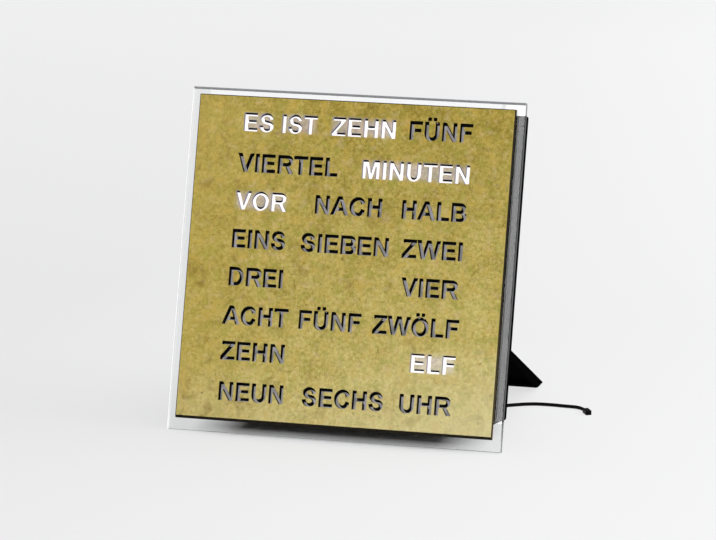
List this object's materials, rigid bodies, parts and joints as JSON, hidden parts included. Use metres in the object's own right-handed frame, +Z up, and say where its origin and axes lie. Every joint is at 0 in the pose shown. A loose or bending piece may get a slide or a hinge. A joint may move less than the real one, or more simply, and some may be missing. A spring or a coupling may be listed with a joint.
{
  "type": "word clock",
  "caption": "Square table clock that tells the time in lit words cut through a metal face on a glass pane, with a black housing behind, a fold-out stand and a thin lead.",
  "frame": {"origin": "on the table under the middle of the leaning clock with its stand open, the lead left out of the count", "axes": "+X to the viewer's right, +Y to the back, +Z up; the face looks towards -Y and leans back 16.4 degrees"},
  "size_m": [0.2655, 0.1918, 0.2225],
  "materials": {
    "face_metal": "aged, mottled, satin",
    "pane": "clear, ground edges",
    "housing_metal": "satin black powder coat",
    "tape_foam": "black foam tape",
    "mask_film": "matt black film",
    "diffuser_plastic": "opal",
    "grid_plastic": "black moulded",
    "board_laminate": "green solder resist",
    "led_body": "white package",
    "cover_plastic": "fine grain black",
    "screw_steel": "zinc plated",
    "chip_epoxy": "moulded epoxy",
    "bare_steel": "bright",
    "holder_plastic": "moulded",
    "jack_plastic": "moulded",
    "button_plastic": "moulded, domed",
    "flap_plastic": "fine grain black",
    "bracket_metal": "black",
    "pad_rubber": "soft, matt",
    "lead_jacket": "flexible black jacket",
    "plug_plastic": "moulded",
    "tie_fabric": "hook-and-loop strap"
  },
  "bodies": {
    "clock": {"front_plate": "face_metal", "glass_panel": "pane", "housing": "housing_metal", "glass_tape": "tape_foam", "light_mask": "mask_film", "diffuser_sheet": "diffuser_plastic", "light_grid": "grid_plastic", "led_board": "board_laminate", "leds": "led_body", "back_cover": "cover_plastic", "cover_screws": "screw_steel", "controller_board": "board_laminate", "board_standoffs": "holder_plastic", "board_screws": "screw_steel", "controller_chip": "chip_epoxy", "driver_chips": "chip_epoxy", "clock_crystal": "bare_steel", "cell_holder": "holder_plastic", "coin_cell": "bare_steel", "board_link": "holder_plastic", "dc_jack": "jack_plastic", "tact_switches": "holder_plastic", "hinge_bracket_left": "bracket_metal", "hinge_bracket_right": "bracket_metal", "bracket_screws": "screw_steel", "hinge_pins": "bare_steel", "cover_bumpers": "pad_rubber", "dc_plug": "plug_plastic", "plug_relief": "lead_jacket", "lead_coil": "lead_jacket", "lead_tie": "tie_fabric", "lead_run": "lead_jacket", "lead_tail": "lead_jacket", "end_connector": "plug_plastic"},
    "stand": {"stand_flap": "flap_plastic", "foot_pads": "pad_rubber"},
    "hour_button": {"button_hour": "button_plastic"},
    "minute_button": {"button_minute": "button_plastic"},
    "dim_button": {"button_dim": "button_plastic"}
  },
  "joints": [
    {"name": "stand_hinge", "type": "hinge", "parent": "clock", "child": "stand", "pos_m": [0, -0.01567, 0.05055], "axis": [1, 0, 0], "range_deg": [0, 99.2]},
    {"name": "hour_press", "type": "slide", "parent": "clock", "child": "hour_button", "axis": [0, -0.9593, 0.2823], "range_m": [0, 0.0008], "stiffness_N_per_m": 450, "springref_m": -0.001},
    {"name": "minute_press", "type": "slide", "parent": "clock", "child": "minute_button", "axis": [0, -0.9593, 0.2823], "range_m": [0, 0.0008], "stiffness_N_per_m": 450, "springref_m": -0.001},
    {"name": "dim_press", "type": "slide", "parent": "clock", "child": "dim_button", "axis": [0, -0.9593, 0.2823], "range_m": [0, 0.0008], "stiffness_N_per_m": 450, "springref_m": -0.001}
  ]
}
